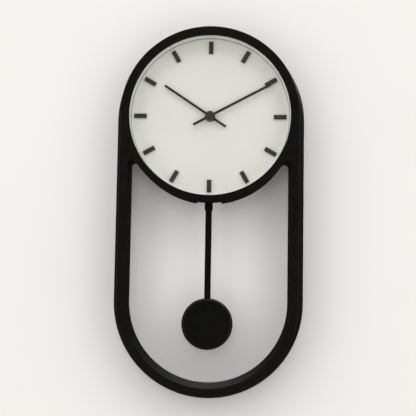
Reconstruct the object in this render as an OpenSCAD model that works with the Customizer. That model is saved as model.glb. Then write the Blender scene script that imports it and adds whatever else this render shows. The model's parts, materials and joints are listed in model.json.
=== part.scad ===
// Pendulum wall clock with a quartz movement.
// The frame is the wall hook's: the origin is the middle of the keyhole's round hole, on the wall,
// +Z is up and -Y points out of the wall towards the viewer.
// The modules work in the clock's own plane: x to the right, y up from the hands' axis and z out of
// the wall. facing() turns that plane upright.

/* [Case] */
// Depth of the case, from the wall to its front face
case_d = 56; // [52:1:64]
// Radius of the round ends at the wall, the widest part of the case
case_r = 152; // [149:1:156]
// How much narrower the case is at its front face than at the wall, on each side
case_draft = 12; // [4:1:13]
// Distance between the centres of the two round ends
case_drop = 294; // [288:2:340]
// Thickness of the moulded walls
wall_t = 2.5; // [2.2:0.1:3]
// Thickness of the front face
face_t = 3; // [2.5:0.5:3.5]
// Radius of the opening in front of the dial
opening_r = 126; // [120:1:127]
// Radius of the window and half of its width
window_r = 127; // [126.5:0.5:129]
// Outer radius of the ring's lower half, inside the window
ring_r = 137; // [136.5:0.5:138.5]
// Radius of the window's two upper corners
corner_r = 6.5; // [4:0.5:9]
// Rounding of the case's outer front edge
edge_r = 1.4; // [0.6:0.2:2]
// Width of the notch that the pendulum swings in
notch_w = 40; // [36:1:46]

/* [Dial] */
// Depth of the dial behind the front face
recess = 19; // [16:1:20]
// Thickness of the dial plate
dial_t = 2; // [1.5:0.5:2.5]
// Thickness of the lens
lens_t = 2; // [1.5:0.5:2.5]
// Length of an hour marker
marker_len = 20; // [14:1:24]
// Width of an hour marker
marker_w = 6.9; // [4:0.1:8]
// Height of an hour marker above the dial
marker_h = 2.5; // [1:0.5:3]
// Distance from the hands' axis to a marker's outer end
marker_r = 120.5; // [112:0.5:122]
// Radius at which the dial's screws stand
screw_r = 137; // [136.8:0.1:137.2]

/* [Hands] */
// Time in hours that the hour hand shows
show_hour = 10; // [0:1:11]
// Minutes that both hands show
show_minute = 10.3; // [0:0.1:59.9]
// Degrees that the hour hand was pressed on behind its exact place
hour_lag = 1.4; // [-3:0.1:3]
// Length of the hour hand from the axis
hour_len = 87; // [60:1:90]
// Length of the minute hand from the axis
minute_len = 107; // [90:1:118]
// Length of both hands' tails
tail_len = 30; // [20:1:40]
// Width of the hour hand
hour_w = 3.8; // [2.5:0.1:5]
// Width of the minute hand
minute_w = 4; // [2.5:0.1:5]
// Thickness of the hands
hand_t = 0.6; // [0.4:0.1:0.8]
// Radius of the centre cap
cap_r = 7.7; // [6.5:0.1:9]

/* [Pendulum] */
// Distance from the hands' axis down to the middle of the bob
bob_drop = 326; // [315:1:345]
// Radius of the bob
bob_r = 40; // [34:1:46]
// Thickness of the bob
bob_t = 9; // [8:0.5:12]
// Width of the rod
rod_w = 9.9; // [6:0.1:11]
// Width of the hanger strip above the rod
hanger_w = 12.8; // [11:0.1:14]
// Distance from the hands' axis down to the hanger strip's lower end
hanger_end = 149; // [146:1:154]
// Distance from the hands' axis down to the pin that the pendulum swings on
pivot_drop = 33.5; // [33:0.1:34]

/* [Movement] */
// Width of the movement's housing
mov_w = 56; // [56:0.5:58]
// Height of the housing above the hands' axis
mov_up = 28; // [28:0.5:30]
// Height of the housing below the hands' axis
mov_down = 56; // [56:0.5:57]
// Wall of the housing
mov_t = 1.2; // [1:0.1:1.4]
// Gap between a shaft and its bearing, on the radius
run_gap = 0.06; // [0.04:0.01:0.1]

/* [Hanging] */
// Height of the keyhole's round hole above the hands' axis
hook_rise = 128; // [124:1:130]
// Radius of the keyhole's round hole
hook_r = 4.5; // [4:0.1:5]
// Half of the width of the keyhole's slot
slot_r = 2.1; // [1.8:0.1:2.4]

/* [Hidden] */
$fn = 96;
over = 0.5; // how far a cutting shape reaches past the face that it cuts

// Heights above the wall in the case
face_z = case_d - face_t;
lens_z = face_z - lens_t;
dial_z = case_d - recess;
dial_back = dial_z - dial_t;

// Dial and lens seat
seat_r = 131.4;
seat_t = 1.6;
lens_r = seat_r - 0.4;
dial_r = seat_r + 2.2;
screw_angles = [40, 140, 192, -12];
boss_r = 3.5;
pilot_r = 1.5;

// Movement: heights above the wall
gasket_t = 0.8;
mov_front = dial_back - gasket_t;
mov_split = mov_front - 7;
mov_back = mov_front - 16;
in_front = mov_front - mov_t;
in_back = mov_back + mov_t;
// Each wheel is one layer thick, and the layers stand one step apart
wheel_t = 1;
hour_z = in_front - 1.6;
minute_z = hour_z - 1.4;
centre_z = minute_z - 1.6;
third_z = centre_z - 1.6;
second_z = third_z - 1.6;
inter_z = second_z - 1.6;

// Compartments: heights above the hands' axis
bay_top = -12.5;
bay_bottom = -28.5;
battery_y = (bay_top + bay_bottom) / 2;

// Wheels: teeth and modules. The motion work slows the hour hand 12 to 1, and from the rotor's half
// turn a second the train slows 5, 6, 8 and 7.5 to 1 down to the centre wheel's turn an hour.
cannon_n = 12;
minute_n = 36;
minute_m = 0.5;
leaf_n = 10;
hour_n = 40;
hour_m = 0.48;
knob_n = 12;
pinion_n = 6;
centre_n = 45;
centre_m = 0.5;
third_n = 48;
second_n = 36;
inter_n = 30;
fine_m = 0.45;

// Directions from each axis to the next, in degrees
minute_dir = 10;
knob_dir = 60;
third_dir = 135;
second_dir = 20;
inter_dir = 30;
rotor_dir = 20;

function centre_distance(n1, n2, m) = m * (n1 + n2) / 2;
function from(p, dir, r) = [p[0] + r * cos(dir), p[1] + r * sin(dir)];
// Angle of the second wheel's first tooth, so that its teeth stand in the first wheel's gaps
function mesh_angle(n1, a1, n2, dir) = dir + 180 - (0.5 - (dir - a1) * n1 / 360) * 360 / n2;

minute_at = from([0, 0], minute_dir, centre_distance(cannon_n, minute_n, minute_m));
knob_at = from(minute_at, knob_dir, centre_distance(minute_n, knob_n, minute_m));
third_at = from([0, 0], third_dir, centre_distance(centre_n, pinion_n, centre_m));
second_at = from(third_at, second_dir, centre_distance(third_n, pinion_n, fine_m));
inter_at = from(second_at, inter_dir, centre_distance(second_n, pinion_n, fine_m));
rotor_at = from(inter_at, rotor_dir, centre_distance(inter_n, pinion_n, fine_m));

// Shafts
arbor_r = 0.5;
post_r = 0.8;
shaft_r = 1.4;
shaft_foot_r = 0.9;
pipe_r = 2.45;
pipe_bore = shaft_r + run_gap;
bush_bore = pipe_r + run_gap;
bush_r = 3.9;
knob_shaft_r = 1.2;

// The hands' stack, in front of the dial
washer_t = 0.5;
nut_t = 2;
bush_end = dial_z + washer_t + nut_t + 0.7;
hour_hand_z = bush_end + 0.8;
minute_hand_z = hour_hand_z + 1.7;
cap_z = minute_hand_z + hand_t;
cap_h = 3.2;
cap_grip = 1.5; // how deep the cap's socket is
hour_angle = 90 - 30 * (show_hour + show_minute / 60) + hour_lag;
minute_angle = 90 - 6 * show_minute;

// The pendulum: heights above the wall
rod_t = 1;
hanger_z = 31.1;
rod_z = hanger_z - rod_t;
lever_z = 29;
lever_t = 2;
lever_w = 6;
pin_r = 0.75;
pin_boss_r = 2.2;
lever_slot = 13;
hook_drop = 61;
bob_z = rod_z + rod_t / 2 - bob_t / 2;
drive_drop = 44;

// ---- helpers ----

// Turns the clock's own plane upright, with the keyhole at the origin
module facing() {
    translate([0, 0, -hook_rise])
        rotate([90, 0, 0])
            children();
}

module at(p, z = 0) {
    translate([p[0], p[1], z])
        children();
}

// A ring of rectangular section
module tube(r_out, r_in, h) {
    difference() {
        cylinder(h = h, r = r_out);
        translate([0, 0, -over])
            cylinder(h = h + 2 * over, r = r_in);
    }
}

// A flat strip in the clock's plane from x0 to x1 and y0 to y1
module block(x0, x1, y0, y1, z0, z1) {
    translate([x0, y0, z0])
        cube([x1 - x0, y1 - y0, z1 - z0]);
}

// A rectangle with round corners
module round_rect(x0, x1, y0, y1, r) {
    translate([x0 + r, y0])
        square([x1 - x0 - 2 * r, y1 - y0]);
    translate([x0, y0 + r])
        square([x1 - x0, y1 - y0 - 2 * r]);
    for (x = [x0 + r, x1 - r], y = [y0 + r, y1 - r])
        translate([x, y])
            circle(r);
}

// A toothed disc. The teeth taper and stand clear of their mates by about a tenth of a millimetre.
module toothed(n, m, h, first) {
    pitch = 360 / n;
    root = m * (n / 2 - 1.25);
    tip = m * (n / 2 + 0.85);
    corners = [[-0.27, root], [-0.11, tip], [0.11, tip], [0.27, root]];
    linear_extrude(height = h)
        polygon([
            for (i = [0 : n - 1], c = corners)
                let (a = first + (i + c[0]) * pitch) [c[1] * cos(a), c[1] * sin(a)]
        ]);
}

// ---- case ----

// Outer surface of the case, as a radius at height z
function outer_r(z) = case_r - case_draft * z / case_d;

// Section of the outer wall in radius and height, with its rounded front edge
module outer_section() {
    rim = outer_r(case_d - edge_r);
    polygon(concat(
        [[case_r - wall_t, 0], [case_r, 0]],
        [for (a = [0 : 15 : 90]) [rim - edge_r + edge_r * cos(a), case_d - edge_r + edge_r * sin(a)]],
        [[outer_r(case_d) - 5, case_d], [outer_r(case_d) - 5, face_z], [outer_r(face_z) - wall_t, face_z]]
    ));
}

// Section of a stiffening rib between the two walls
module rib_section(r_in, z0) {
    polygon([
        [r_in, z0], [outer_r(z0) - wall_t / 2, z0],
        [outer_r(face_z) - wall_t / 2, face_z + over], [r_in, face_z + over]
    ]);
}

rib_t = 1.6;
module rib(r_in, z0) {
    rotate([90, 0, 0])
        translate([0, 0, -rib_t / 2])
            linear_extrude(height = rib_t)
                rib_section(r_in, z0);
}

// Both straight flanks of a section, between the heights y0 and y1
module flanks(y0, y1) {
    for (side = [0, 1])
        mirror([side, 0, 0])
            translate([0, y1, 0])
                rotate([90, 0, 0])
                    linear_extrude(height = y1 - y0)
                        children();
}

module lower_half() {
    translate([0, -case_drop, 0])
        rotate([0, 0, 180])
            rotate_extrude(angle = 180, $fn = 160)
                children();
}

// Centres of the window's two upper corners, each round where the ring's lower half meets a leg
corner_x = window_r - corner_r;
corner_y = -sqrt(pow(ring_r + corner_r, 2) - pow(corner_x, 2));
touch = ring_r / (ring_r + corner_r);

// Outline of the window, let out by grow on every side
module window_outline(grow) {
    half = window_r + grow;
    difference() {
        union() {
            translate([-half, -case_drop])
                square([2 * half, case_drop + corner_y]);
            translate([0, -case_drop])
                circle(half, $fn = 160);
            for (side = [-1, 1]) {
                translate([side * corner_x, corner_y])
                    circle(corner_r + grow);
                polygon([
                    [side * corner_x * touch / 2, corner_y - 1], [side * corner_x, corner_y - 1],
                    [side * corner_x, corner_y], [side * corner_x * touch, corner_y * touch]
                ]);
            }
        }
        circle(ring_r - grow, $fn = 160);
    }
}

// The front face between the dial's opening, the window and the outer edge
module face_plate() {
    inset = outer_r(case_d) - 3;
    linear_extrude(height = face_t)
        difference() {
            union() {
                circle(inset, $fn = 160);
                translate([0, -case_drop])
                    circle(inset, $fn = 160);
                translate([-inset, -case_drop])
                    square([2 * inset, case_drop]);
            }
            window_outline(0);
            circle(opening_r, $fn = 160);
        }
}

// The wall round the window, open where the pendulum passes
module window_wall() {
    difference() {
        linear_extrude(height = case_d - over)
            difference() {
                window_outline(wall_t);
                window_outline(0);
            }
        block(-notch_w / 2, notch_w / 2, -ring_r - 1, 0, -over, dial_back);
    }
}

// A pilot boss for each dial screw
module dial_bosses() {
    for (a = screw_angles)
        at(from([0, 0], a, screw_r), dial_z)
            cylinder(h = face_z - dial_z + over, r = boss_r, $fn = 32);
}

// Tab with the keyhole that the clock hangs by, and the webs that carry it
tab_w = 40;
tab_t = 3;
module hanging_tab() {
    block(-tab_w / 2, tab_w / 2, hook_rise - 13, case_r - wall_t + 0.3, 0, tab_t);
    for (side = [-1, 1])
        translate([side * (tab_w / 2 - rib_t / 2), -1.5, 0])
            rotate([0, 0, 90])
                rib(dial_r + 3, 0);
    block(-tab_w / 2, tab_w / 2, hook_rise - 13, hook_rise - 13 + rib_t, 0, 2 * tab_t);
}

module keyhole() {
    slot_rise = 8;
    for (hole = [[0, hook_r], [slot_rise, slot_r]])
        translate([0, hook_rise + hole[0], -over])
            cylinder(h = tab_t + 2 * over, r = hole[1], $fn = 48);
    block(-slot_r, slot_r, hook_rise, hook_rise + slot_rise, -over, tab_t + over);
}

module case() {
    color("#161513")
        facing()
            difference() {
                union() {
                    translate([0, 0, face_z])
                        face_plate();
                    rotate_extrude(angle = 180, $fn = 160)
                        outer_section();
                    flanks(-case_drop, 0)
                        outer_section();
                    lower_half()
                        outer_section();
                    window_wall();
                    translate([0, 0, dial_z])
                        tube(seat_r + seat_t, seat_r, face_z - dial_z + over);
                    dial_bosses();
                    hanging_tab();
                    for (a = [18, 62, 118, 162])
                        rotate([0, 0, a])
                            rib(seat_r + seat_t / 2, dial_z + 2);
                    for (side = [0, 1], y = [-90, -160, -230, -case_drop])
                        mirror([side, 0, 0])
                            translate([0, y, 0])
                                rib(window_r + 1, 20);
                    for (a = [210 : 30 : 330])
                        translate([0, -case_drop, 0])
                            rotate([0, 0, a])
                                rib(window_r + 1, 20);
                }
                for (a = screw_angles)
                    at(from([0, 0], a, screw_r), dial_z - over)
                        cylinder(h = 12 + over, r = pilot_r, $fn = 32);
                keyhole();
            }
}

// ---- dial ----

module lens() {
    color("#dfe8e6", 0.25)
        facing()
            translate([0, 0, lens_z])
                cylinder(h = lens_t, r = lens_r, $fn = 160);
}

module spacer_ring() {
    color("#e4e2da")
        facing()
            translate([0, 0, dial_z])
                tube(lens_r, opening_r, lens_z - dial_z, $fn = 160);
}

module dial_plate() {
    color("#dedad2")
        facing()
            translate([0, 0, dial_back])
                difference() {
                    union() {
                        cylinder(h = dial_t, r = dial_r, $fn = 160);
                        for (a = screw_angles)
                            rotate([0, 0, a]) {
                                translate([screw_r, 0, 0])
                                    cylinder(h = dial_t, r = boss_r, $fn = 32);
                                block(dial_r - 3, screw_r, -boss_r, boss_r, 0, dial_t);
                            }
                    }
                    translate([0, 0, -over])
                        cylinder(h = dial_t + 2 * over, r = bush_r + 0.2);
                    for (a = screw_angles)
                        at(from([0, 0], a, screw_r), -over)
                            cylinder(h = dial_t + 2 * over, r = pilot_r + 0.2, $fn = 32);
                }
}

module hour_markers() {
    soft = 0.6;
    color("#3a3837")
        facing()
            for (hour = [0 : 11])
                rotate([0, 0, 30 * hour])
                    translate([marker_r - marker_len, marker_w / 2, dial_z])
                        rotate([90, 0, 0])
                            linear_extrude(height = marker_w)
                                polygon([
                                    [0, 0], [marker_len, 0], [marker_len, marker_h - soft],
                                    [marker_len - soft, marker_h], [soft, marker_h], [0, marker_h - soft]
                                ]);
}

module dial_screws() {
    color("#8d9096")
        facing()
            for (a = screw_angles)
                at(from([0, 0], a, screw_r), dial_back)
                    difference() {
                        union() {
                            cylinder(h = dial_t + 9, r = pilot_r - 0.02, $fn = 32);
                            translate([0, 0, -1.8])
                                cylinder(h = 1.8, r1 = 2.2, r2 = 2.9, $fn = 32);
                        }
                        for (turn = [0, 90])
                            rotate([0, 0, turn])
                                translate([-1.5, -0.25, -2])
                                    cube([3, 0.5, 1]);
                    }
}

// ---- hands ----

// A stamped hand with a boss that presses on its shaft
module hand(len, w, angle, z, bore_r, boss, boss_drop) {
    translate([0, 0, z])
        difference() {
            union() {
                rotate([0, 0, angle])
                    linear_extrude(height = hand_t)
                        union() {
                            translate([-tail_len, -w / 2])
                                square([tail_len + len, w]);
                            circle(boss);
                        }
                translate([0, 0, -boss_drop])
                    cylinder(h = boss_drop + hand_t / 2, r = bore_r + 0.8);
            }
            translate([0, 0, -boss_drop - over])
                cylinder(h = boss_drop + hand_t + 2 * over, r = bore_r);
        }
}

module hour_hand() {
    color("#34322f")
        facing()
            hand(hour_len, hour_w, hour_angle, hour_hand_z, pipe_r, 5, 0.6);
}

module minute_hand() {
    color("#34322f")
        facing()
            hand(minute_len, minute_w, minute_angle, minute_hand_z, shaft_r, 4.2, 0.8);
}

module hand_cap() {
    edge = 1.4;
    cap_rise = 0.3;
    socket = [[0, cap_grip], [shaft_r, cap_grip]];
    dome = [for (a = [0 : 15 : 90]) [cap_r - edge + edge * cos(a), cap_h - edge + edge * sin(a)]];
    color("#444443")
        facing()
            translate([0, 0, cap_z])
                rotate_extrude()
                    polygon(concat([[shaft_r, 0], [cap_r, 0]], dome, [[0, cap_h + cap_rise]], socket));
}

module bush_nut() {
    color("#b8974a")
        facing()
            translate([0, 0, dial_z + washer_t])
                difference() {
                    cylinder(h = nut_t, r = 7, $fn = 6);
                    translate([0, 0, -over])
                        cylinder(h = nut_t + 2 * over, r = bush_r);
                }
}

module bush_washer() {
    color("#b8974a")
        facing()
            translate([0, 0, dial_z])
                tube(8.6, bush_r + 0.2, washer_t);
}

module gasket() {
    color("#1c1c1c")
        facing()
            translate([0, 0, mov_front])
                tube(10, bush_r + 0.2, gasket_t);
}

module threaded_bush() {
    color("#b8974a")
        facing()
            translate([0, 0, in_front])
                tube(bush_r, bush_bore, bush_end - in_front);
}

// ---- movement ----

module housing_outline(inset) {
    round_rect(-mov_w / 2 + inset, mov_w / 2 - inset, -mov_down + inset, mov_up - inset, 3 - inset);
}

// A wall or boss on the inside sinks this far into the housing's skin
sink = mov_t / 2;
arbor_hole = arbor_r + run_gap;
arbor_boss_r = 1.6;

// A bearing boss of height h on the inside of the front skin
module front_bearing(p, h, r, hole_r) {
    at(p)
        difference() {
            translate([0, 0, in_front - h])
                cylinder(h = h + sink, r = r, $fn = 32);
            translate([0, 0, in_front - h - over])
                cylinder(h = h + over, r = hole_r, $fn = 32);
        }
}

// A bearing boss of height h on the inside of the back skin
module back_bearing(p, h, r, hole_r) {
    at(p)
        difference() {
            translate([0, 0, in_back - sink])
                cylinder(h = h + sink, r = r, $fn = 32);
            translate([0, 0, in_back])
                cylinder(h = h + over, r = hole_r, $fn = 32);
        }
}

// The two walls of the battery's bay
module bay_walls(z0, z1) {
    for (y = [bay_top, bay_bottom])
        block(-mov_w / 2 + sink, mov_w / 2 - sink, y - sink, y + sink, z0, z1);
}

module movement_front() {
    color("#202020")
        facing()
            union() {
                difference() {
                    translate([0, 0, mov_split])
                        linear_extrude(height = mov_front - mov_split)
                            housing_outline(0);
                    translate([0, 0, mov_split - over])
                        linear_extrude(height = in_front - mov_split + over)
                            housing_outline(mov_t);
                    at([0, 0], in_front - over)
                        cylinder(h = mov_t + 2 * over, r = bush_r);
                    // Slot in the bottom wall that the pendulum's lever hangs through
                    block(
                        -lever_slot / 2, lever_slot / 2, -mov_down - over, -mov_down + mov_t + over,
                        mov_split - over, in_front - over
                    );
                }
                bay_walls(mov_split, in_front + sink);
                // Post that the minute wheel turns on
                at(minute_at, minute_z - 0.2)
                    cylinder(h = in_front - minute_z + 0.7, r = post_r, $fn = 32);
                for (p = [third_at, second_at, inter_at])
                    front_bearing(p, 1.2, arbor_boss_r, arbor_hole);
                front_bearing(rotor_at, in_front - mov_split - 0.4, arbor_boss_r, arbor_hole);
                front_bearing(knob_at, 1.4, 2.4, knob_shaft_r + run_gap);
                front_bearing([0, -pivot_drop], in_front - lever_z - lever_t - 0.3, pin_boss_r, pin_r);
            }
}

module movement_back() {
    color("#202020")
        facing()
            union() {
                difference() {
                    translate([0, 0, mov_back])
                        linear_extrude(height = mov_split - mov_back)
                            housing_outline(0);
                    translate([0, 0, in_back])
                        linear_extrude(height = mov_split - in_back + over)
                            housing_outline(mov_t);
                    // The battery goes in from behind
                    block(
                        -mov_w / 2 + mov_t, mov_w / 2 - mov_t, bay_bottom + sink, bay_top - sink,
                        mov_back - over, in_back + over
                    );
                    at(knob_at, mov_back - over)
                        cylinder(h = mov_t + 2 * over, r = knob_shaft_r + run_gap, $fn = 32);
                }
                bay_walls(in_back - sink, mov_split);
                back_bearing([0, 0], 2.6, 2, shaft_foot_r + run_gap);
                for (p = [third_at, second_at, inter_at])
                    back_bearing(p, 1.8, arbor_boss_r, arbor_hole);
                back_bearing(rotor_at, 1.1, arbor_boss_r, arbor_hole);
                back_bearing([0, -pivot_drop], lever_z - 0.3 - in_back, pin_boss_r, pin_r);
                // Posts under the stator
                for (x = [-23.8, 24.4])
                    at([x, 23.7], in_back - sink)
                        cylinder(h = 2 + sink, r = 1.5, $fn = 32);
                // Pad under the pendulum's drive coil
                at([0, -drive_drop], in_back - sink)
                    cylinder(h = 0.6 + sink, r = 5, $fn = 48);
            }
}

module minute_shaft() {
    color("#c9a85a")
        facing()
            union() {
                translate([0, 0, in_back + 0.2])
                    cylinder(h = centre_z + 1.5 - in_back, r = shaft_foot_r, $fn = 48);
                translate([0, 0, minute_z - 0.4])
                    cylinder(h = cap_z + 1.2 - minute_z + 0.4, r = shaft_r, $fn = 48);
                translate([0, 0, minute_z])
                    toothed(cannon_n, minute_m, wheel_t, 0);
            }
}

module clutch_spring() {
    color("#c8cacc")
        facing()
            translate([0, 0, minute_z - 0.45])
                tube(2.8, shaft_r, 0.35);
}

module hour_wheel() {
    leaf_first = 0;
    first = mesh_angle(leaf_n, leaf_first, hour_n, minute_dir + 180);
    color("#e6e2d2")
        facing()
            translate([0, 0, hour_z])
                difference() {
                    union() {
                        toothed(hour_n, hour_m, wheel_t, first);
                        cylinder(h = hour_hand_z + hand_t - hour_z, r = pipe_r, $fn = 48);
                    }
                    translate([0, 0, -over])
                        cylinder(h = hour_hand_z + hand_t - hour_z + 2 * over, r = pipe_bore, $fn = 48);
                }
}

module minute_wheel() {
    first = mesh_angle(cannon_n, 0, minute_n, minute_dir);
    color("#e6e2d2")
        facing()
            at(minute_at, minute_z)
                difference() {
                    union() {
                        toothed(minute_n, minute_m, wheel_t, first);
                        translate([0, 0, wheel_t / 2])
                            cylinder(h = hour_z - minute_z - wheel_t / 2 + 0.1, r = 1.6, $fn = 32);
                        translate([0, 0, hour_z - minute_z])
                            toothed(leaf_n, hour_m, wheel_t, 0);
                    }
                    translate([0, 0, -over])
                        cylinder(h = 4, r = post_r + run_gap, $fn = 32);
                }
}

module setting_knob() {
    wheel_first = mesh_angle(cannon_n, 0, minute_n, minute_dir);
    first = mesh_angle(minute_n, wheel_first, knob_n, knob_dir);
    knob_h = 3;
    color("#2a2a2a")
        facing()
            at(knob_at)
                union() {
                    translate([0, 0, minute_z])
                        toothed(knob_n, minute_m, wheel_t, first);
                    translate([0, 0, mov_back - 1])
                        cylinder(h = in_front - mov_back + 1, r = knob_shaft_r, $fn = 32);
                    translate([0, 0, mov_back - 0.5 - knob_h])
                        difference() {
                            cylinder(h = knob_h, r = 6, $fn = 48);
                            for (a = [0 : 24 : 336])
                                rotate([0, 0, a])
                                    translate([6.3, 0, -over])
                                        cylinder(h = knob_h + 2 * over, r = 0.7, $fn = 16);
                        }
                }
}

// A train wheel on its arbor, with the pinion that the wheel before or after it drives
module train_wheel(p, n, m, z, first, pin_m, pin_z, pin_first, z0, z1) {
    at(p)
        union() {
            translate([0, 0, z])
                toothed(n, m, wheel_t, first);
            translate([0, 0, pin_z])
                toothed(pinion_n, pin_m, wheel_t, pin_first);
            translate([0, 0, z0])
                cylinder(h = z1 - z0, r = arbor_r, $fn = 32);
        }
}

module centre_wheel() {
    color("#e6e2d2")
        facing()
            translate([0, 0, centre_z])
                difference() {
                    toothed(centre_n, centre_m, wheel_t, 0);
                    translate([0, 0, -over])
                        cylinder(h = wheel_t + 2 * over, r = shaft_foot_r + run_gap, $fn = 48);
                }
}

module third_wheel() {
    color("#e6e2d2")
        facing()
            train_wheel(
                third_at, third_n, fine_m, third_z, 0, centre_m, centre_z,
                mesh_angle(centre_n, 0, pinion_n, third_dir), in_back + 0.2, in_front - 0.2
            );
}

module second_wheel() {
    color("#e6e2d2")
        facing()
            train_wheel(
                second_at, second_n, fine_m, second_z, 0, fine_m, third_z,
                mesh_angle(third_n, 0, pinion_n, second_dir), in_back + 0.2, in_front - 0.2
            );
}

module intermediate_wheel() {
    color("#e6e2d2")
        facing()
            train_wheel(
                inter_at, inter_n, fine_m, inter_z, 0, fine_m, second_z,
                mesh_angle(second_n, 0, pinion_n, inter_dir), in_back + 0.2, in_front - 0.2
            );
}

magnet_z = in_back + 1.5;
module rotor() {
    color("#d8d4c6")
        facing()
            at(rotor_at)
                union() {
                    translate([0, 0, inter_z])
                        toothed(pinion_n, fine_m, wheel_t, mesh_angle(inter_n, 0, pinion_n, rotor_dir));
                    translate([0, 0, in_back + 0.2])
                        cylinder(h = mov_split + 1.6 - in_back, r = arbor_r, $fn = 32);
                }
}

module rotor_magnet() {
    color("#5a5d63")
        facing()
            at(rotor_at, magnet_z)
                tube(3, arbor_r, 2.3, $fn = 48);
}

stator_z = in_back + 2;
coil_y = 23.7;
coil_z = 26;
module stator() {
    color("#9a9ca0")
        facing()
            translate([0, 0, stator_z])
                difference() {
                    union() {
                        block(-25.6, 25.6, 21, 26.2, 0, 1.2);
                        at(rotor_at)
                            cylinder(h = 1.2, r = 5.2, $fn = 48);
                    }
                    at(rotor_at, -over)
                        cylinder(h = 1.2 + 2 * over, r = 3.6, $fn = 48);
                }
}

module coil_core() {
    color("#9a9ca0")
        facing()
            union() {
                block(-25, -3.4, coil_y - 0.8, coil_y + 0.8, coil_z - 0.6, coil_z + 0.6);
                for (x = [-25, -5])
                    block(x, x + 1.6, coil_y - 0.8, coil_y + 0.8, stator_z + 1.2, coil_z);
            }
}

module coil_bobbin() {
    color("#d8c27a")
        facing()
            translate([-23.2, coil_y, coil_z])
                rotate([0, 90, 0])
                    difference() {
                        union() {
                            cylinder(h = 18, r = 1.5, $fn = 48);
                            for (z = [0, 17.2])
                                translate([0, 0, z])
                                    cylinder(h = 0.8, r = 2.8, $fn = 48);
                        }
                        translate([-0.6, -0.8, -over])
                            cube([1.2, 1.6, 19]);
                    }
}

module motor_coil() {
    color("#b5602c")
        facing()
            translate([-22.4, coil_y, coil_z])
                rotate([0, 90, 0])
                    tube(2.6, 1.5, 16.4, $fn = 48);
}

module circuit_board() {
    color("#2f5a3a")
        facing()
            translate([0, 0, in_back])
                difference() {
                    block(-26, -3, -9.6, 17, 0, 0.8);
                    at(third_at, -over)
                        cylinder(h = 2, r = 2, $fn = 48);
                }
}

module quartz_crystal() {
    color("#c8cacc")
        facing()
            translate([-24, -3.5, in_back + 0.8 + 1.05])
                rotate([0, 90, 0])
                    cylinder(h = 6.2, r = 1.05, $fn = 32);
}

module chip() {
    color("#141414")
        facing()
            at([-20, 8], in_back + 0.8)
                cylinder(h = 1.2, r1 = 3, r2 = 1.9, $fn = 32);
}

battery_r = 7.1;
battery_z = in_front - 0.15 - battery_r;
module battery() {
    color("#3f7d4d")
        facing()
            translate([-24.2, battery_y, battery_z])
                rotate([0, 90, 0])
                    union() {
                        cylinder(h = 49, r = battery_r);
                        cylinder(h = 50.2, r = 2.7, $fn = 48);
                    }
}

module positive_contact() {
    color("#c8cacc")
        facing()
            union() {
                block(26.05, 26.45, battery_y - 6.5, battery_y + 6.5, in_back + 1, in_front - 1);
                block(26.05, 26.75, battery_y - 2, battery_y + 2, in_back + 1, in_back + 4);
            }
}

// A leaf bent to a vee, which presses on the battery's flat end
module negative_contact() {
    color("#c8cacc")
        facing()
            translate([0, battery_y - 4, 0])
                rotate([-90, 0, 0])
                    linear_extrude(height = 8)
                        polygon([
                            [-26.7, -in_front + 1], [-26.3, -in_front + 1], [-24.25, -battery_z],
                            [-26.3, -in_back - 1], [-26.7, -in_back - 1], [-24.7, -battery_z]
                        ]);
}

// ---- pendulum ----

module drive_coil() {
    color("#b5602c")
        facing()
            at([0, -drive_drop], in_back + 0.6)
                tube(7, 1.6, 4.2, $fn = 64);
}

module drive_magnet() {
    color("#5a5d63")
        facing()
            at([0, -drive_drop], lever_z - 3)
                cylinder(h = 3, r = 4, $fn = 48);
}

module drive_lever() {
    color("#e6e2d2")
        facing()
            difference() {
                union() {
                    block(-lever_w / 2, lever_w / 2, -hook_drop, -pivot_drop, lever_z, lever_z + lever_t);
                    at([0, -pivot_drop], lever_z)
                        cylinder(h = lever_t, r = 3.4, $fn = 48);
                    at([0, -drive_drop], lever_z)
                        cylinder(h = lever_t, r = 4.6, $fn = 48);
                    at([0, -hook_drop], lever_z)
                        cylinder(h = lever_t, r = lever_w / 2, $fn = 48);
                    at([0, -hook_drop], lever_z)
                        cylinder(h = hanger_z + 2.4 - lever_z, r = 1.5, $fn = 32);
                }
                at([0, -pivot_drop], lever_z - over)
                    cylinder(h = lever_t + 2 * over, r = pin_r + run_gap, $fn = 32);
            }
}

module lever_pin() {
    color("#b9bcc0")
        facing()
            at([0, -pivot_drop], in_back)
                cylinder(h = in_front - in_back, r = pin_r, $fn = 32);
}

rivet_drop = hanger_end - 5;
module pendulum_hanger() {
    top = -hook_drop + 3.4;
    color("#171615")
        facing()
            translate([0, 0, hanger_z])
                difference() {
                    linear_extrude(height = rod_t)
                        round_rect(-hanger_w / 2, hanger_w / 2, -hanger_end, top, 2);
                    at([0, -hook_drop], -over)
                        cylinder(h = rod_t + 2 * over, r = 1.5, $fn = 32);
                    at([0, -rivet_drop], -over)
                        cylinder(h = rod_t + 2 * over, r = 1.5, $fn = 32);
                }
}

module hanger_rivet() {
    color("#171615")
        facing()
            at([0, -rivet_drop])
                union() {
                    translate([0, 0, rod_z - 0.5])
                        cylinder(h = 2 * rod_t + 1, r = 1.5, $fn = 32);
                    for (z = [rod_z - 0.6, hanger_z + rod_t])
                        translate([0, 0, z])
                            cylinder(h = 0.6, r = 2.4, $fn = 32);
                }
}

module pendulum_rod() {
    color("#171615")
        facing()
            translate([0, 0, rod_z])
                difference() {
                    block(-rod_w / 2, rod_w / 2, -bob_drop - 12, -hanger_end + 10, 0, rod_t);
                    for (y = [-rivet_drop, -bob_drop])
                        at([0, y], -over)
                            cylinder(h = rod_t + 2 * over, r = 1.5, $fn = 32);
                }
}

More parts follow.
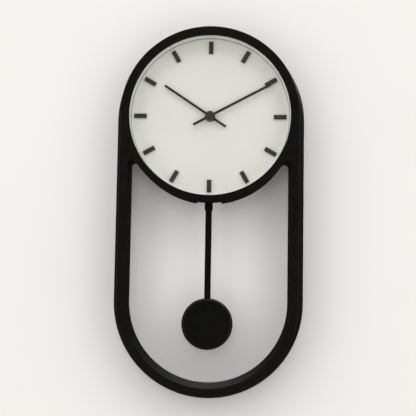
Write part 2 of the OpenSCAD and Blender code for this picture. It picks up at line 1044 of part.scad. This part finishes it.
// Section of the bob's front shell in radius and height: a flat face with a soft round edge
bob_edge = 4.5;
bob_wall = 1.4;
module bob_section() {
    x0 = bob_r - bob_edge;
    y0 = bob_t - bob_edge;
    inner_r = bob_edge - bob_wall;
    outer = [for (a = [0 : 10 : 90]) [x0 + bob_edge * cos(a), y0 + bob_edge * sin(a)]];
    inner = [for (a = [90 : -15 : 0]) [x0 + inner_r * cos(a), y0 + inner_r * sin(a)]];
    polygon(concat([[bob_r - bob_wall, 0], [bob_r, 0]], outer, [[0, bob_t], [0, bob_t - bob_wall]], inner));
}

module bob_front() {
    boss_z = rod_z + rod_t;
    color("#131211")
        facing()
            difference() {
                union() {
                    translate([0, -bob_drop, bob_z])
                        rotate_extrude($fn = 128)
                            bob_section();
                    at([0, -bob_drop], boss_z)
                        cylinder(h = bob_z + bob_t - bob_wall / 2 - boss_z, r = 4, $fn = 48);
                }
                at([0, -bob_drop], boss_z - over)
                    cylinder(h = 3 + over, r = 1.5, $fn = 32);
                block(
                    -rod_w / 2 - 0.1, rod_w / 2 + 0.1, -bob_drop + bob_r - 8, -bob_drop + bob_r + 1,
                    bob_z - over, boss_z + 0.1
                );
            }
}

module bob_cover() {
    color("#171615")
        facing()
            at([0, -bob_drop], bob_z + 0.2)
                difference() {
                    union() {
                        cylinder(h = 1.4, r = bob_r - bob_wall - 0.2, $fn = 128);
                        cylinder(h = rod_z - bob_z - 0.2, r = 4, $fn = 48);
                    }
                    translate([0, 0, -over])
                        cylinder(h = 8, r = 1.7, $fn = 32);
                }
}

module bob_screw() {
    color("#8d9096")
        facing()
            at([0, -bob_drop])
                union() {
                    translate([0, 0, bob_z])
                        cylinder(h = rod_z + rod_t + 2.6 - bob_z, r = 1.48, $fn = 32);
                    translate([0, 0, bob_z - 1.4])
                        cylinder(h = 1.6, r1 = 2.2, r2 = 2.8, $fn = 32);
                }
}

case();
lens();
spacer_ring();
dial_plate();
hour_markers();
dial_screws();
hour_hand();
minute_hand();
hand_cap();
bush_nut();
bush_washer();
gasket();
threaded_bush();
movement_front();
movement_back();
minute_shaft();
clutch_spring();
hour_wheel();
minute_wheel();
setting_knob();
centre_wheel();
third_wheel();
second_wheel();
intermediate_wheel();
rotor();
rotor_magnet();
stator();
coil_core();
coil_bobbin();
motor_coil();
circuit_board();
quartz_crystal();
chip();
battery();
positive_contact();
negative_contact();
drive_coil();
drive_magnet();
drive_lever();
lever_pin();
pendulum_hanger();
hanger_rivet();
pendulum_rod();
bob_front();
bob_cover();
bob_screw();
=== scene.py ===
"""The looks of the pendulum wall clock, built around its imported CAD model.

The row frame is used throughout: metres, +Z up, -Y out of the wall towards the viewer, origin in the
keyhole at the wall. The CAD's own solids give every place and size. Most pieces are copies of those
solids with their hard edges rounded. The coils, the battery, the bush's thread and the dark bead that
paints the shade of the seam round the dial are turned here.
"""

import json
import math

import bmesh
import bpy
from mathutils import Matrix, Vector


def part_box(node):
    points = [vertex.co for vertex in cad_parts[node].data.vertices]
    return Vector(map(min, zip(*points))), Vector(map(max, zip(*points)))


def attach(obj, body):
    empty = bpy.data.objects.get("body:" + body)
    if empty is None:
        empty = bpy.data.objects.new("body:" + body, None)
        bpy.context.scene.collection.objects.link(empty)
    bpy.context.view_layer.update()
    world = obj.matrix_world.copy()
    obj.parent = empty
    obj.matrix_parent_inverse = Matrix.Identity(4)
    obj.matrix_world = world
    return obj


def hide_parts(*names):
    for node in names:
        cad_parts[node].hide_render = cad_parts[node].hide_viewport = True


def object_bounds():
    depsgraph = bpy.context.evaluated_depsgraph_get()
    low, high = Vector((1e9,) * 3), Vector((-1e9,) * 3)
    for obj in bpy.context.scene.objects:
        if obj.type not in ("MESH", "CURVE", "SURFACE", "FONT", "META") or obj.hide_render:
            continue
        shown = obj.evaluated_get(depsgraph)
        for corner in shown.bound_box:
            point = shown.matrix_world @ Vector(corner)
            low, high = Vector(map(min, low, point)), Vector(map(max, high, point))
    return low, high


MM = 0.001

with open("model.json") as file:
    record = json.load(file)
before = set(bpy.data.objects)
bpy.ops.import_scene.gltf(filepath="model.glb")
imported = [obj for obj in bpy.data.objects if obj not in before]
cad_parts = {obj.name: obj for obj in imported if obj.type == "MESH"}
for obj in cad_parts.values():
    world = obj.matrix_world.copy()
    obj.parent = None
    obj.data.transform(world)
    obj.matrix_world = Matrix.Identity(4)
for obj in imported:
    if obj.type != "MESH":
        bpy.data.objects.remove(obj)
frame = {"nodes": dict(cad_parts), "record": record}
cad_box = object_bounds()
NODES = frame["nodes"]
SLOT_OF = {p["node"]: p["material_slot"] for p in frame["record"]["subparts"]}
BODY_OF = {n: b for b, names in frame["record"]["behaviour"]["bodies"].items() for n in names}

# ---- materials ----


class Nodes:
    """A material, or the world, under construction: short calls that add one node each."""

    def __init__(self, name, world=False):
        self.material = (bpy.data.worlds if world else bpy.data.materials).new(name)
        self.material.use_nodes = True
        self.tree = self.material.node_tree
        self.tree.nodes.clear()
        self.output = self.add("ShaderNodeOutputWorld" if world else "ShaderNodeOutputMaterial")
        self.place = self.add("ShaderNodeTexCoord").outputs["Generated" if world else "Object"]

    def add(self, kind, **values):
        node = self.tree.nodes.new(kind)
        for key, value in values.items():
            setattr(node, key, value)
        return node

    def link(self, source, target):
        self.tree.links.new(source, target)

    def stretched(self, scale):
        """Object coordinates multiplied along each axis, for brushed and drawn surfaces."""
        mapping = self.add("ShaderNodeMapping")
        mapping.inputs["Scale"].default_value = scale
        self.link(self.place, mapping.inputs["Vector"])
        return mapping.outputs["Vector"]

    def noise(self, size, detail=3.0, where=None):
        """Noise whose features are about size metres across, from 0 to 1."""
        node = self.add("ShaderNodeTexNoise")
        node.inputs["Scale"].default_value = 1 / size
        node.inputs["Detail"].default_value = detail
        self.link(where or self.place, node.inputs["Vector"])
        return node.outputs["Fac"]

    def span(self, source, low, high, source_low=0.3, source_high=0.7, kind="LINEAR"):
        node = self.add("ShaderNodeMapRange", interpolation_type=kind)
        for key, value in (
            ("From Min", source_low),
            ("From Max", source_high),
            ("To Min", low),
            ("To Max", high),
        ):
            node.inputs[key].default_value = value
        self.link(source, node.inputs["Value"])
        return node.outputs["Result"]

    def times(self, a, b):
        node = self.add("ShaderNodeMath", operation="MULTIPLY")
        self.link(a, node.inputs[0])
        self.link(b, node.inputs[1])
        return node.outputs["Value"]

    def ramp(self, source, *stops, kind="LINEAR"):
        """Colours along a value: each stop is (position, colour)."""
        node = self.add("ShaderNodeValToRGB")
        node.color_ramp.interpolation = kind
        elements = node.color_ramp.elements
        while len(elements) < len(stops):
            elements.new(1.0)
        for element, (position, colour) in zip(elements, stops):
            element.position = position
            element.color = (*colour, 1)
        self.link(source, node.inputs["Fac"])
        return node.outputs["Color"]

    def bump(self, height, depth):
        """A normal pushed in and out by depth metres times the height."""
        node = self.add("ShaderNodeBump")
        node.inputs["Strength"].default_value = 1.0
        node.inputs["Distance"].default_value = depth
        self.link(height, node.inputs["Height"])
        return node.outputs["Normal"]

    def mixed(self, share, first, second):
        """The output is the first shader, or the second where share is 1."""
        mix = self.add("ShaderNodeMixShader")
        self.link(share, mix.inputs["Fac"])
        self.link(first, mix.inputs[1])
        self.link(second, mix.inputs[2])
        self.link(mix.outputs["Shader"], self.output.inputs["Surface"])

    def principled(self, colour, roughness, normal=None, **sockets):
        node = self.add("ShaderNodeBsdfPrincipled")
        self.link(colour, node.inputs["Base Color"])
        self.link(roughness, node.inputs["Roughness"])
        if normal:
            self.link(normal, node.inputs["Normal"])
        for key, value in sockets.items():
            node.inputs[key.replace("_", " ")].default_value = value
        self.link(node.outputs["BSDF"], self.output.inputs["Surface"])
        return self.material


def shade(colour, factor):
    return tuple(min(1.0, c * factor) for c in colour)


SMEAR = 0.35  # size of the smears in the roughness, as a share of the blotches'


def surface(
    name, colour, rough, grain=0.4, depth=0.01, mottle=0.12, blotch=25, drawn=None, **sockets
):
    """A moulded, painted or plated surface. rough is (smoothest, roughest); grain, depth and blotch are
    millimetres: the texture's size, its height, and the size of the slow changes in tone. drawn
    stretches the grain along an axis."""
    n = Nodes(name)
    where = n.stretched(drawn) if drawn else n.place
    slow = n.noise(blotch * MM)
    fine = n.noise(grain * MM, 4.0, where)
    tone = n.ramp(slow, (0.3, shade(colour, 1 - mottle)), (0.7, shade(colour, 1 + mottle)))
    smear = n.noise(blotch * SMEAR * MM, 5.0, where)
    roughness = n.span(smear, *rough)
    return n.principled(tone, roughness, n.bump(fine, depth * MM), **sockets)


LENS_IOR = 1.22


def clear_lens(name):
    """Thin clear plastic: what is behind it shows through, and its face mirrors a little."""
    n = Nodes(name)
    through = n.add("ShaderNodeBsdfTransparent")
    mirror = n.add("ShaderNodeBsdfGlossy")
    haze = n.noise(14 * MM, 6.0)
    tint = n.ramp(haze, (0.3, (0.985, 0.987, 0.985)), (0.7, (0.996, 0.997, 0.996)))
    n.link(tint, through.inputs["Color"])
    n.link(n.span(haze, 0.015, 0.05), mirror.inputs["Roughness"])
    fresnel = n.add("ShaderNodeFresnel")
    # Light isn't bent on its way through, so leaving the plastic mirrors no more than entering it
    inside = n.add("ShaderNodeNewGeometry").outputs["Backfacing"]
    n.link(n.span(inside, LENS_IOR, 1 / LENS_IOR, 0.0, 1.0), fresnel.inputs["IOR"])
    n.mixed(fresnel.outputs["Fac"], through.outputs["BSDF"], mirror.outputs["BSDF"])
    return n.material


def battery_jacket(name):
    """A plain two-tone sleeve along the cell, and bright steel at its two ends."""
    steel, green, copper = (0.6, 0.6, 0.58), (0.03, 0.16, 0.06), (0.55, 0.27, 0.1)
    sleeve_start, second_tone, sleeve_stop = 0.012, 0.72, 0.962
    n = Nodes(name)
    low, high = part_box("battery")
    split = n.add("ShaderNodeSeparateXYZ")
    n.link(n.place, split.inputs["Vector"])
    along = n.span(split.outputs["X"], 0.0, 1.0, low.x, high.x)
    bands = (0.0, steel), (sleeve_start, green), (second_tone, copper), (sleeve_stop, steel)
    tone = n.ramp(along, *bands, kind="CONSTANT")
    roughness = n.span(n.noise(3 * MM, 5.0), 0.22, 0.38)
    return n.principled(tone, roughness, n.bump(n.noise(0.8 * MM), 0.004 * MM), Metallic=0.35)


# How each slot looks, as surface() takes it. The names with capitals are the shader's own sockets.
LOOKS = {
    "case_black": dict(
        colour=(0.0036, 0.0033, 0.003), rough=(0.28, 0.38),
        grain=0.45, depth=0.012, mottle=0.16, blotch=40, Specular_IOR_Level=0.225,
    ),
    "spacer_white": dict(colour=(0.82, 0.83, 0.78), rough=(0.35, 0.5), grain=0.6, depth=0.005, mottle=0.02),
    "dial_white": dict(
        colour=(0.79, 0.77, 0.735), rough=(0.5, 0.64), grain=0.25, depth=0.006, mottle=0.012, blotch=60
    ),
    "marker_grey": dict(
        colour=(0.038, 0.0368, 0.0345), rough=(0.36, 0.5),
        grain=0.3, depth=0.006, blotch=9, Specular_IOR_Level=0.4,
    ),
    "hand_grey": dict(
        colour=(0.025, 0.023, 0.0215), rough=(0.34, 0.48),
        grain=0.3, depth=0.005, blotch=8, Specular_IOR_Level=0.45,
    ),
    "cap_grey": dict(colour=(0.034, 0.034, 0.0335), rough=(0.3, 0.42), grain=0.25, depth=0.005, blotch=5),
    "brass": dict(
        colour=(0.72, 0.52, 0.23), rough=(0.2, 0.38),
        grain=0.3, depth=0.004, blotch=4, drawn=(1, 12, 1), Metallic=1.0,
    ),
    "rubber": dict(colour=(0.018, 0.018, 0.018), rough=(0.6, 0.78), grain=0.5, depth=0.02, blotch=6),
    "housing_black": dict(
        colour=(0.018, 0.018, 0.018), rough=(0.5, 0.66), grain=0.35, depth=0.03, mottle=0.2, blotch=12
    ),
    "knob_black": dict(colour=(0.022, 0.022, 0.022), rough=(0.34, 0.5), grain=0.4, depth=0.01, blotch=5),
    "gear_plastic": dict(
        colour=(0.78, 0.74, 0.64), rough=(0.34, 0.5), grain=0.4, depth=0.006, mottle=0.03, blotch=6,
        Subsurface_Weight=0.08, Subsurface_Scale=0.001,
    ),
    "bobbin_plastic": dict(
        colour=(0.6, 0.42, 0.15), rough=(0.3, 0.45), grain=0.3, depth=0.006, mottle=0.05, blotch=5
    ),
    "board_green": dict(colour=(0.02, 0.11, 0.05), rough=(0.28, 0.42), grain=0.5, depth=0.01, blotch=5),
    "chip_resin": dict(colour=(0.01, 0.01, 0.011), rough=(0.12, 0.28), grain=1.2, depth=0.03, blotch=3),
    "copper": dict(
        colour=(0.62, 0.23, 0.09), rough=(0.22, 0.36),
        grain=0.2, depth=0.003, blotch=3, Metallic=0.9, Coat_Weight=0.4,
    ),
    "magnet": dict(
        colour=(0.1, 0.105, 0.11), rough=(0.42, 0.6), grain=0.25, depth=0.02, blotch=2, Metallic=0.7
    ),
    "steel": dict(
        colour=(0.5, 0.51, 0.53), rough=(0.26, 0.46),
        grain=0.25, depth=0.005, blotch=3, drawn=(8, 1, 1), Metallic=1.0,
    ),
    "spring_steel": dict(
        colour=(0.62, 0.62, 0.64), rough=(0.16, 0.32),
        grain=0.25, depth=0.004, blotch=3, drawn=(6, 1, 1), Metallic=1.0,
    ),
    "pendulum_black": dict(
        colour=(0.0034, 0.0031, 0.0027), rough=(0.3, 0.42),
        grain=0.5, depth=0.008, mottle=0.2, blotch=20, Specular_IOR_Level=0.11,
    ),
    "bob_black": dict(
        colour=(0.003, 0.0028, 0.0026), rough=(0.3, 0.4),
        grain=0.4, depth=0.01, mottle=0.16, blotch=18, Specular_IOR_Level=0.175,
    ),
    "cover_black": dict(
        colour=(0.016, 0.0155, 0.015), rough=(0.5, 0.64), grain=0.4, depth=0.02, blotch=12
    ),
}
MATERIALS = {slot: surface(slot, **look) for slot, look in LOOKS.items()}
MATERIALS["lens_clear"] = clear_lens("lens_clear")
MATERIALS["battery_jacket"] = battery_jacket("battery_jacket")

for node, obj in NODES.items():
    obj.data.materials.clear()
    obj.data.materials.append(MATERIALS[SLOT_OF[node]])

# ---- pieces ----


def as_piece(name, mesh, node, whole=True):
    """A new object on the CAD node's body, in its slot and with its material, and in its place if whole."""
    piece = bpy.data.objects.new(name, mesh)
    bpy.context.collection.objects.link(piece)
    mesh.materials.clear()
    mesh.materials.append(MATERIALS[SLOT_OF[node]])
    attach(piece, BODY_OF[node])
    if whole:
        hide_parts(node)
    return piece


SAME_PLACE = 2e-6
FLAT_ANGLE, SHARP_ANGLE = math.radians(0.2), math.radians(30)
BEVEL_STEPS = 3


def soften(node, name, width):
    """A copy of a CAD solid whose sharp edges are rounded to width millimetres."""
    source = NODES[node].data
    bm = bmesh.new()
    verts = [bm.verts.new(v.co) for v in source.vertices]
    bm.verts.ensure_lookup_table()
    for polygon in source.polygons:
        try:
            bm.faces.new([verts[i] for i in polygon.vertices])
        except ValueError:  # the mesh holds this face twice
            pass
    bmesh.ops.remove_doubles(bm, verts=bm.verts, dist=SAME_PLACE)
    bmesh.ops.dissolve_limit(bm, angle_limit=FLAT_ANGLE, verts=bm.verts, edges=bm.edges)
    for face in bm.faces:
        face.smooth = True
    mesh = bpy.data.meshes.new(name)
    bm.to_mesh(mesh)
    bm.free()
    piece = as_piece(name, mesh, node)
    bevel = piece.modifiers.new("round_edges", "BEVEL")
    bevel.width = width * MM
    bevel.segments = BEVEL_STEPS
    bevel.limit_method = "ANGLE"
    bevel.angle_limit = SHARP_ANGLE
    bevel.harden_normals = True
    bevel.use_clamp_overlap = True
    weighted = piece.modifiers.new("flat_faces", "WEIGHTED_NORMAL")
    weighted.keep_sharp = True


def extent(node, axis):
    """A node's length along X, Y or Z in millimetres."""
    low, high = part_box(node)
    return (high - low)["XYZ".index(axis)] / MM


def bore(node, axis):
    """The radius of the hole along a node's axis, in millimetres."""
    low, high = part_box(node)
    middle = (low + high) / 2
    across = [k for k, letter in enumerate("XYZ") if letter != axis]
    centre = [middle[k] for k in across]
    return min(math.dist([v.co[k] for k in across], centre) for v in NODES[node].data.vertices) / MM


def turned(name, node, profile, axis, steps, crease=35, whole=True):
    """A turned piece: profile is (millimetres along the axis, radius) from the axis back to the axis, or
    round a closed ring. The axis, X or Y, runs through the middle of the node's box from its low side.
    A whole piece stands for its node; any other is added to it."""
    low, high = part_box(node)
    middle = (low + high) / 2
    closed = profile[0][1] > 0
    bm = bmesh.new()
    rings = []
    for along, radius in profile:
        ring = []
        for step in range(steps if radius > 0 else 1):
            turn = 2 * math.pi * step / steps
            across, up = radius * math.cos(turn), radius * math.sin(turn)
            if axis == "X":
                place = (low.x + along * MM, middle.y - across * MM, middle.z + up * MM)
            else:
                place = (middle.x + across * MM, low.y + along * MM, middle.z + up * MM)
            ring.append(bm.verts.new(place))
        rings.append(ring)
    following = rings[1:] + rings[:1] if closed else rings[1:]
    for a, b in zip(rings, following):
        for step in range(steps):
            after = (step + 1) % steps
            corners = [a[step % len(a)], b[step % len(b)], b[after % len(b)], a[after % len(a)]]
            bm.faces.new(list(dict.fromkeys(corners)))
    bmesh.ops.recalc_face_normals(bm, faces=bm.faces)
    for face in bm.faces:
        face.smooth = True
    for edge in bm.edges:
        edge.smooth = edge.calc_face_angle(0) < math.radians(crease)
    mesh = bpy.data.meshes.new(name)
    bm.to_mesh(mesh)
    bm.free()
    return as_piece(name, mesh, node, whole)


def rounded(along, radius, size, first, last, steps=4):
    """Points of an arc of that size about (along, radius), from the first to the last angle in degrees."""
    angles = [math.radians(first + (last - first) * k / steps) for k in range(steps + 1)]
    return [(along + size * math.cos(a), radius + size * math.sin(a)) for a in angles]


def coil(node, name, axis, across, wire):
    """A coil whose outer layer shows its turns, from the node's low side to its high side."""
    length, radius = extent(node, axis), extent(node, across) / 2
    turns = round(length / wire)
    pitch = length / turns
    hole = bore(node, axis)
    profile = [(0, hole)]
    for k in range(turns):
        profile += rounded((k + 0.5) * pitch, radius - pitch / 2, pitch / 2, 165, 15, 5)
    profile += [(length, hole)]
    turned(name, node, profile, axis, steps=48, crease=80)


def dry_cell():
    """The cell: a flat end in a rolled rim, the sleeve, and the dished end with its nub."""
    radius, length = extent("battery", "Z") / 2, extent("battery", "X")
    flat, flat_r = 0.35, radius - 1.9
    rim_r, rim_bend = radius - 1.2, 0.5
    groove_r = radius - 0.5
    first_bend, first_at = 0.45, 0.8
    last_bend, last_at = 0.7, length - 2
    dish, dish_r = length - 1.55, radius - 1.4
    nub_foot_r, nub_side, nub_side_r = 3.3, length - 1.3, 2.75
    nub_r, nub_bend = 2.7, 0.5
    profile = [(flat, 0), (flat, flat_r)]
    profile += rounded(rim_bend, rim_r, rim_bend, 180, 90)
    profile += [(first_bend, groove_r)]
    profile += rounded(first_at, radius - first_bend, first_bend, 180, 90)
    profile += rounded(last_at, radius - last_bend, last_bend, 90, 0)
    profile += [(dish, dish_r), (dish, nub_foot_r), (nub_side, nub_side_r)]
    profile += rounded(length - nub_bend, nub_r - nub_bend, nub_bend, 90, 0)
    profile += [(length, 0)]
    turned("dry_cell", "battery", profile, "X", steps=72)


def bush_thread():
    """The bush: a thread of rings from its front end to the movement, round a smooth bore."""
    pitch, thread_depth, lead_in = 0.75, 0.4, 0.4
    crest_from, crest_to = 0.42 * pitch, 0.58 * pitch
    length, crest = extent("threaded_bush", "Y"), extent("threaded_bush", "X") / 2
    root, hole = crest - thread_depth, bore("threaded_bush", "Y")
    profile = [(0, hole), (0, root)]
    for k in range(int((length - 2 * lead_in) / pitch)):
        start = lead_in + k * pitch
        profile += [(start, root), (start + crest_from, crest), (start + crest_to, crest)]
    profile += [(length - 0.3, root), (length, root - 0.05), (length, hole)]
    turned("bush_thread", "threaded_bush", profile, "Y", steps=48, crease=20)


def seam_shade_bead():
    """A dark greenish-grey bead round the foot of the spacer, where it meets the dial. Its darkness is
    painted shade of the seam there, and its green is the tint of the lens's edge.
    """
    width, height, sunk = 1.1, 0.8, 0.2
    foot, wall_r = extent("spacer_ring", "Y"), bore("spacer_ring", "Y")
    profile = [(foot, wall_r + sunk), (foot, wall_r - width)]
    profile += rounded(foot - height / 2, wall_r - width / 2, width / 2, 270, 180)
    profile += [(foot - height, wall_r + sunk)]
    bead = turned("seam_shade_bead", "spacer_ring", profile, "Y", steps=160, whole=False)
    # Opaque dark greenish grey: painted shade in the seam between spacer and dial, tinted like the lens's
    # edge
    bead.data.materials[0] = surface(
        "seam_shade_tint", (0.33, 0.39, 0.345), (0.15, 0.3), grain=0.6, depth=0.004, mottle=0.05, blotch=30
    )


WIRE = 0.42  # thickness of the coils' wire in millimetres
coil("motor_coil", "motor_winding", "X", "Z", WIRE)
coil("drive_coil", "drive_winding", "Y", "X", WIRE)
dry_cell()
bush_thread()
seam_shade_bead()

# Each softened piece: its CAD node, its name and the rounding of its edges in millimetres
SOFTENED = (
    ("case", "case_shell", 0.5),
    ("spacer_ring", "spacer_band", 0.2),
    ("dial_plate", "dial_face", 0.2),
    ("hour_markers", "hour_bars", 0.45),
    ("hour_hand", "hour_hand_blade", 0.12),
    ("minute_hand", "minute_hand_blade", 0.12),
    ("bush_nut", "hex_nut", 0.25),
    ("movement_back", "movement_case_back", 0.3),
    ("movement_front", "movement_case_front", 0.3),
    ("setting_knob", "setting_wheel", 0.2),
    ("pendulum_rod", "pendulum_strip", 0.15),
    ("pendulum_hanger", "pendulum_hanger_strip", 0.15),
    ("bob_front", "bob_shell", 0.3),
    ("bob_cover", "bob_back_plate", 0.2),
    ("dial_screws", "dial_screw_set", 0.3),
    ("bob_screw", "bob_screw_turned", 0.3),
    ("hanger_rivet", "hanger_rivet_turned", 0.3),
    ("hand_cap", "centre_cap", 0.15),
    ("bush_washer", "flat_washer", 0.1),
    ("drive_magnet", "disc_magnet", 0.3),
    ("drive_lever", "drive_arm", 0.2),
    ("circuit_board", "board", 0.1),
    ("quartz_crystal", "crystal_can", 0.2),
    ("chip", "resin_blob", 0.4),
    ("positive_contact", "positive_leaf", 0.1),
    ("negative_contact", "negative_leaf", 0.1),
)
for node, name, width in SOFTENED:
    soften(node, name, width)

# ---- floor, wall, lights and camera ----


def one_sided(name, colour):
    """A plain stage surface that is seen only from its front, so that it never hides the clock."""
    n = Nodes(name)
    diffuse = n.add("ShaderNodeBsdfDiffuse")
    tone = n.ramp(n.noise(200 * MM), (0.3, shade(colour, 0.99)), (0.7, shade(colour, 1.01)))
    n.link(tone, diffuse.inputs["Color"])
    through = n.add("ShaderNodeBsdfTransparent")
    behind = n.add("ShaderNodeNewGeometry").outputs["Backfacing"]
    n.mixed(behind, diffuse.outputs["BSDF"], through.outputs["BSDF"])
    return n.material


def stage_plane(name, centre, normal, size, colour):
    bm = bmesh.new()
    bmesh.ops.create_grid(bm, x_segments=8, y_segments=8, size=size / 2)
    mesh = bpy.data.meshes.new(name)
    bm.to_mesh(mesh)
    bm.free()
    mesh.materials.append(one_sided(name, colour))
    plane = bpy.data.objects.new(name, mesh)
    plane.location = centre
    plane.rotation_euler = Vector(normal).to_track_quat("Z", "Y").to_euler()
    bpy.context.collection.objects.link(plane)
    return plane


low, high = cad_box
middle = (low + high) / 2
WALL_PAINT = (0.88, 0.873, 0.86)
FLOOR_PAINT = (0.45, 0.445, 0.435)
WALL_SIZE, FLOOR_SIZE = 6, 8
WALL_GAP, FLOOR_DROP = 0.002, 0.12
wall_middle = (middle.x, high.y + WALL_GAP, middle.z)
wall = stage_plane("wall", wall_middle, (0, -1, 0), WALL_SIZE, WALL_PAINT)
floor = stage_plane("floor", (0, 0, low.z - FLOOR_DROP), (0, 0, 1), FLOOR_SIZE, FLOOR_PAINT)
# Both take light and shadow but give none, so the clock's own shading is the studio's: the wall touches
# its back, which is lit as if the clock had been lifted off, and its black parts don't mirror the floor.
for plane in (wall, floor):
    for ray in ("diffuse", "glossy", "transmission", "shadow"):
        setattr(plane, "visible_" + ray, False)


def area_light(name, place, aim, size, power):
    data = bpy.data.lights.new(name, "AREA")
    data.shape = "RECTANGLE"
    data.size, data.size_y = size
    data.energy = power
    light = bpy.data.objects.new(name, data)
    light.location = place
    light.rotation_euler = (Vector(aim) - Vector(place)).to_track_quat("-Z", "Y").to_euler()
    bpy.context.collection.objects.link(light)
    return light


# The front light fills the dial's shadows, and the black pieces don't mirror it
front = area_light("front", (-0.15, -1.9, 0.3), middle, (1.0, 1.0), 5.5)
front.visible_glossy = False
area_light("rear", (0.4, 1.5, 1.7), middle, (3.2, 2.4), 65)

# The camera is given the backdrop's plain colour, and everything else the soft light. Its strength goes
# from BELOW to ABOVE with the height, times AHEAD or BEHIND where it is dim, between the bounds given.
ABOVE, BELOW, SKY_BOUNDS = 2.52, 0.9, (-0.6, 0.9)
AHEAD, AHEAD_BOUNDS = 0.04, (0.68, 0.93)
BEHIND, BEHIND_BOUNDS = 0.012, (-0.5, 0.08)
DARK_TILT = math.radians(8)
SOFT_LIGHT = (1.0, 0.985, 0.96, 1)
BACKDROP = (0.78, 0.77, 0.755, 1)


def studio():
    """Soft light from all round the camera and most from above, as from large diffusers. It is dim
    straight ahead, where the black case would mirror it, and behind the wall."""
    n = Nodes("studio", world=True)
    split = n.add("ShaderNodeSeparateXYZ")
    n.link(n.place, split.inputs["Vector"])
    facing = n.add("ShaderNodeVectorMath", operation="DOT_PRODUCT")
    n.link(n.place, facing.inputs[0])
    facing.inputs[1].default_value = (0, -math.cos(DARK_TILT), math.sin(DARK_TILT))
    ahead = n.span(facing.outputs["Value"], 1.0, AHEAD, *AHEAD_BOUNDS, "SMOOTHSTEP")
    behind = n.span(split.outputs["Y"], 1.0, BEHIND, *BEHIND_BOUNDS, "SMOOTHSTEP")
    height = n.span(split.outputs["Z"], BELOW, ABOVE, *SKY_BOUNDS)
    light = n.add("ShaderNodeBackground")
    light.inputs["Color"].default_value = SOFT_LIGHT
    n.link(n.times(n.times(ahead, behind), height), light.inputs["Strength"])
    plain = n.add("ShaderNodeBackground")
    plain.inputs["Color"].default_value = BACKDROP
    seen = n.add("ShaderNodeLightPath").outputs["Is Camera Ray"]
    n.mixed(seen, light.outputs["Background"], plain.outputs["Background"])
    return n.material


bpy.context.scene.world = studio()
bpy.context.scene.view_settings.view_transform = "Standard"

# The camera stands a little right of and below the dial, and looks very slightly up and to the left
CAMERA_PLACE = (0.0359, -1.1323, -0.3479)
PITCH, YAW, ROLL = 3.91, 1.93, 0.93
camera_data = bpy.data.cameras.new("camera")
camera_data.sensor_width = 36
camera_data.lens = 60.6
camera_data.clip_start = 0.05
camera = bpy.data.objects.new("camera", camera_data)
upright = Matrix.Rotation(math.radians(90), 4, "X")
turn = Matrix.Rotation(math.radians(YAW), 4, "Y") @ Matrix.Rotation(math.radians(PITCH), 4, "X")
roll = Matrix.Rotation(math.radians(ROLL), 4, "Z")
camera.matrix_world = Matrix.Translation(CAMERA_PLACE) @ upright @ turn @ roll
bpy.context.collection.objects.link(camera)
bpy.context.scene.camera = camera
